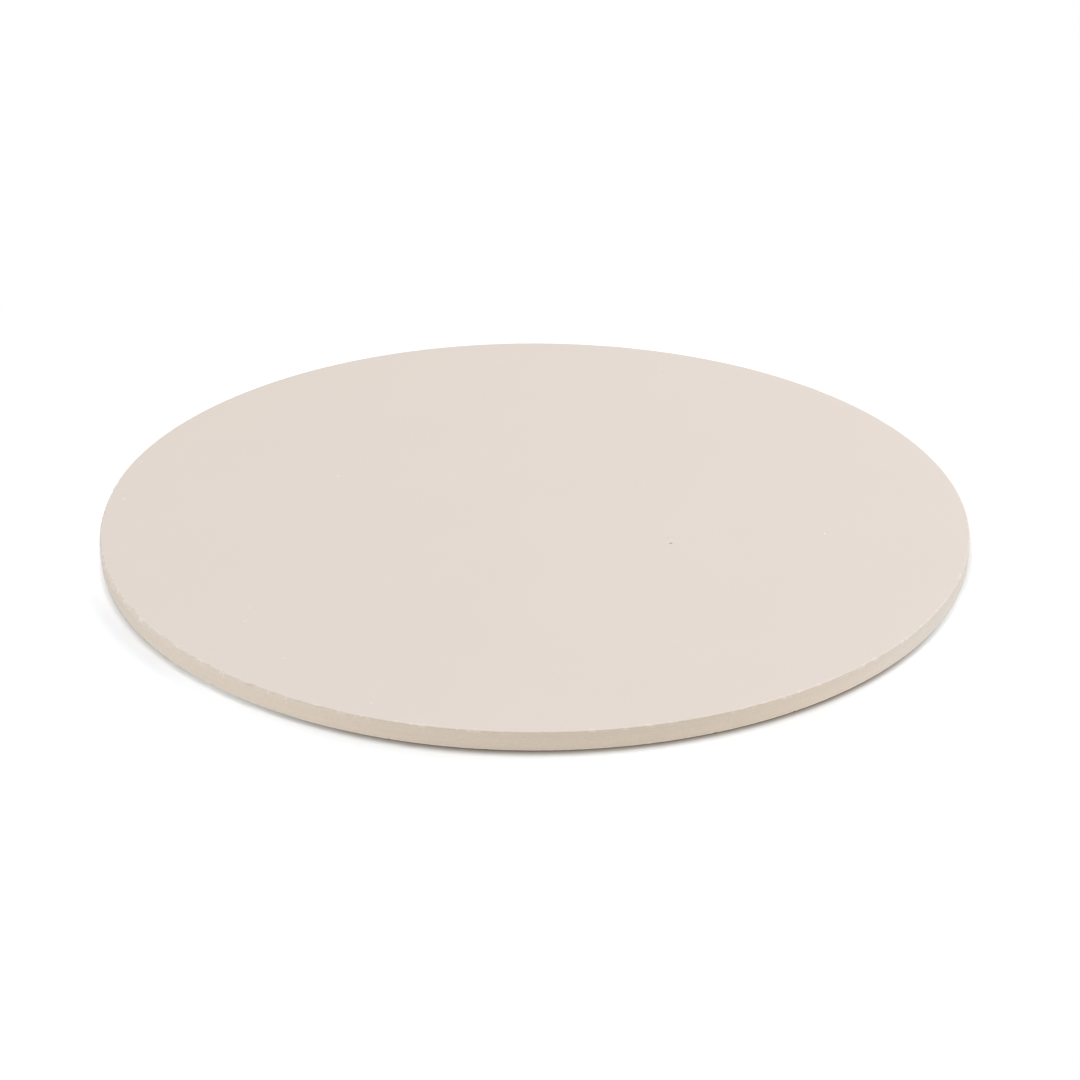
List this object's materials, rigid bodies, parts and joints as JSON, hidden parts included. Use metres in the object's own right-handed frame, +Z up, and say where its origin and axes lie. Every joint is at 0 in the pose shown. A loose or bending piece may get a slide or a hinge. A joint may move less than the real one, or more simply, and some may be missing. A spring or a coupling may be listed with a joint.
{
  "type": "pizza stone",
  "caption": "Round flat pizza stone: a thin unglazed ceramic slab with eased edges that stores oven heat and bakes the crust of a pizza laid on it.",
  "frame": {"origin": "centre of the flat underside, on the surface that the stone stands on", "axes": "+Z up through the baking face; the stone is the same all the way round +Z, and -Y is the side nearest the viewer in the picture"},
  "size_m": [0.33, 0.33, 0.007],
  "materials": {
    "cordierite": "matte"
  },
  "bodies": {
    "root": {"stone_slab": "cordierite"}
  },
  "joints": []
}
